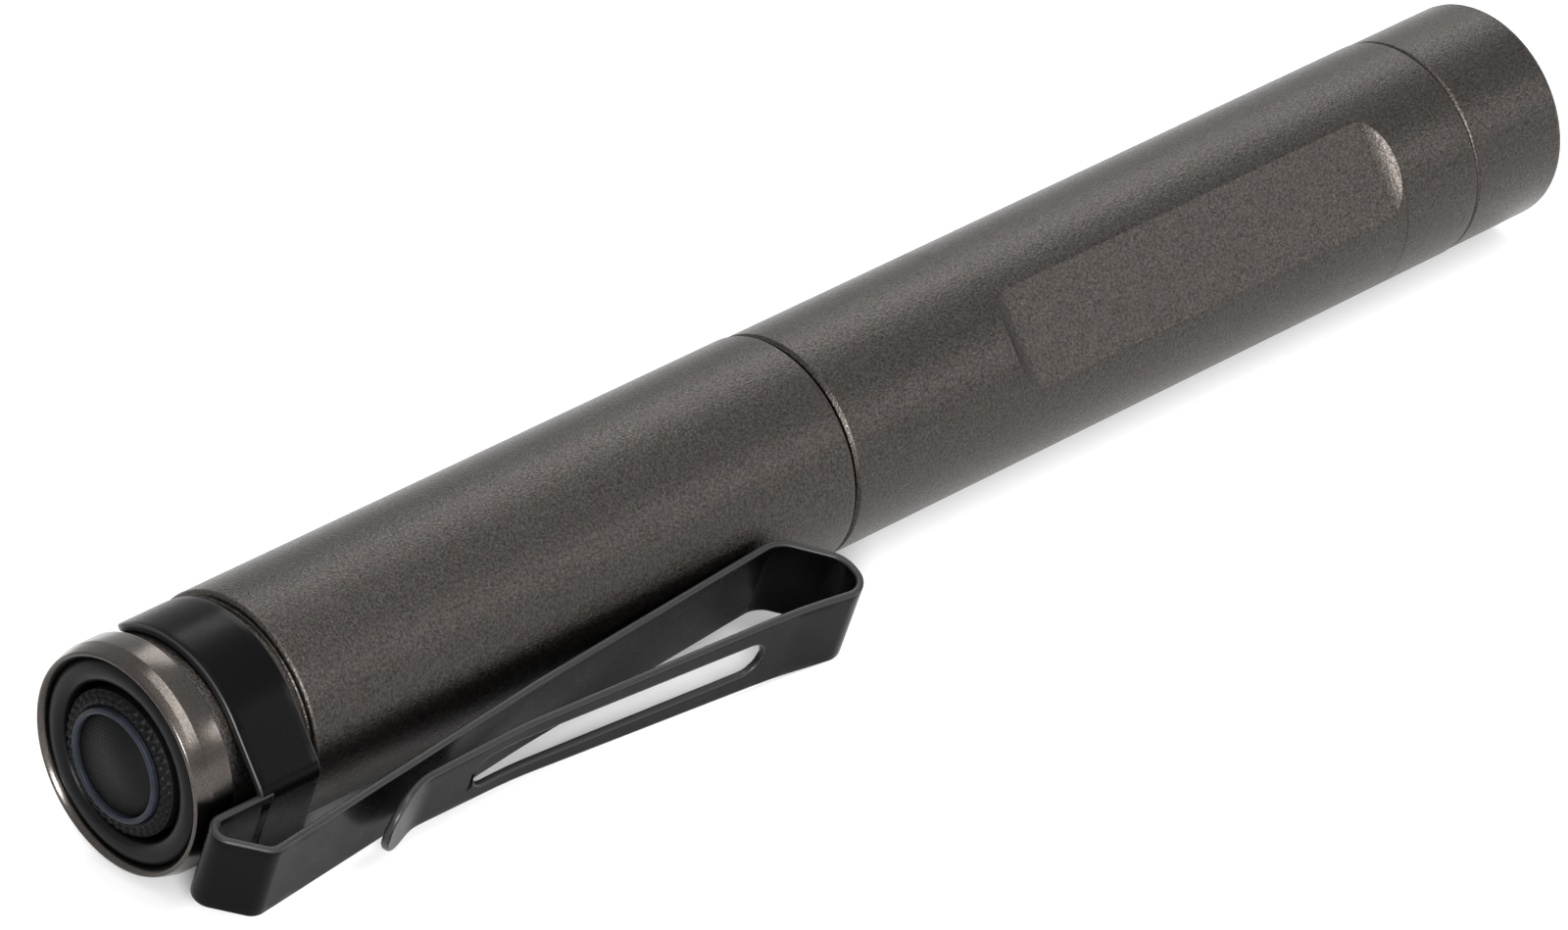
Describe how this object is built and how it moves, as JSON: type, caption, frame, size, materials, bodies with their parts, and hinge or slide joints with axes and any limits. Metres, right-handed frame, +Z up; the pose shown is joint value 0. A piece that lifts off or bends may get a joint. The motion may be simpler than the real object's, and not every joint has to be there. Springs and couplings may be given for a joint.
{
  "type": "penlight",
  "caption": "Slim metal penlight with a push button in the tail, a milled flat on the front barrel and a folded two-way pocket clip.",
  "frame": {"origin": "on the barrel's axis where the rear tube meets the front barrel", "axes": "+X along the barrel to the head, +Z up as the light lies on a table, the clip on the -Y side"},
  "size_m": [0.1211, 0.0215, 0.0155],
  "materials": {
    "anodised_barrel": "bead-blasted, gunmetal anodised",
    "tail_metal": "polished, bronze-toned",
    "black_rubber": "satin rubber",
    "clip_paint": "satin black on spring steel",
    "lens_glass": "clear",
    "reflector_plating": "bright",
    "white_plastic": "matt",
    "black_plastic": "matt",
    "board_white": "printed",
    "board_green": "printed",
    "led_phosphor": "clear dome over phosphor",
    "wire_sleeve": "sleeved",
    "brass": "turned",
    "cell_sleeve": "printed sleeve, plain",
    "cell_steel": "nickel plated",
    "spring_steel": "gold-tinted plating"
  },
  "bodies": {
    "front_body": {"front_barrel": "anodised_barrel", "led_pill": "brass", "led_board": "board_white", "led_emitter": "led_phosphor", "led_gasket": "white_plastic", "led_wires": "wire_sleeve", "driver_board": "board_green", "driver_parts": "black_plastic", "driver_contact": "brass", "battery_front": "cell_sleeve", "battery_front_terminal": "cell_steel", "battery_rear": "cell_sleeve", "battery_rear_terminal": "cell_steel", "bezel_oring": "black_rubber"},
    "head_optics": {"lens": "lens_glass", "lens_gasket": "black_rubber", "reflector": "reflector_plating"},
    "head_cap": {"bezel": "anodised_barrel"},
    "mid_seal": {"mid_oring": "black_rubber"},
    "rear_tube": {"rear_barrel": "anodised_barrel"},
    "tail_seal": {"tail_oring": "black_rubber"},
    "tail_group": {"tail_cap": "tail_metal", "rubber_ring": "black_rubber", "switch_housing": "black_plastic", "switch_board": "board_green", "switch_ring": "brass", "tail_spring": "spring_steel", "button_spring": "spring_steel"},
    "push_button": {"button": "black_rubber", "switch_plunger": "white_plastic"},
    "clip_base": {"clip_collar": "clip_paint"},
    "clip_inner": {"clip_inner_arm": "clip_paint"},
    "clip_outer": {"clip_outer_arm": "clip_paint"}
  },
  "joints": [
    {"name": "rear_tube_travel", "type": "slide", "parent": "front_body", "child": "mid_seal", "axis": [-1, 0, 0], "range_m": [0, 0.004]},
    {"name": "rear_tube_turn", "type": "hinge", "parent": "mid_seal", "child": "rear_tube", "pos_m": [0, 0, 0], "axis": [-1, 0, 0], "range_deg": [0, 1442]},
    {"name": "bezel_travel", "type": "slide", "parent": "front_body", "child": "head_optics", "axis": [1, 0, 0], "range_m": [0, 0.00225]},
    {"name": "bezel_turn", "type": "hinge", "parent": "head_optics", "child": "head_cap", "pos_m": [0.06, 0, 0], "axis": [1, 0, 0], "range_deg": [0, 1082]},
    {"name": "tail_cap_travel", "type": "slide", "parent": "rear_tube", "child": "tail_seal", "axis": [-1, 0, 0], "range_m": [0, 0.003]},
    {"name": "tail_cap_turn", "type": "hinge", "parent": "tail_seal", "child": "tail_group", "pos_m": [-0.05, 0, 0], "axis": [-1, 0, 0], "range_deg": [0, 1442]},
    {"name": "button_press", "type": "slide", "parent": "tail_group", "child": "push_button", "axis": [1, 0, 0], "range_m": [0, 0.0012], "stiffness_N_per_m": 1500, "deforming": ["button_spring"]},
    {"name": "clip_swivel", "type": "hinge", "parent": "rear_tube", "child": "clip_base", "pos_m": [-0.0491, 0, 0], "axis": [1, 0, 0], "continuous": true},
    {"name": "clip_lift", "type": "hinge", "parent": "clip_base", "child": "clip_inner", "pos_m": [-0.05077, -0.01083, -0.00438], "axis": [0, 0.3746, -0.9272], "range_deg": [0, 3.5], "stiffness_Nm_per_rad": 3.5},
    {"name": "clip_outer_lift", "type": "hinge", "parent": "clip_inner", "child": "clip_outer", "pos_m": [-0.00935, -0.01254, -0.00507], "axis": [0, -0.3746, 0.9272], "range_deg": [0, 4], "stiffness_Nm_per_rad": 1.5}
  ],
  "couplings": [
    {"joint": "rear_tube_turn", "follows": "rear_tube_travel", "rad_per_m": 6283.2},
    {"joint": "bezel_turn", "follows": "bezel_travel", "rad_per_m": 8377.6},
    {"joint": "tail_cap_turn", "follows": "tail_cap_travel", "rad_per_m": 8377.6}
  ]
}
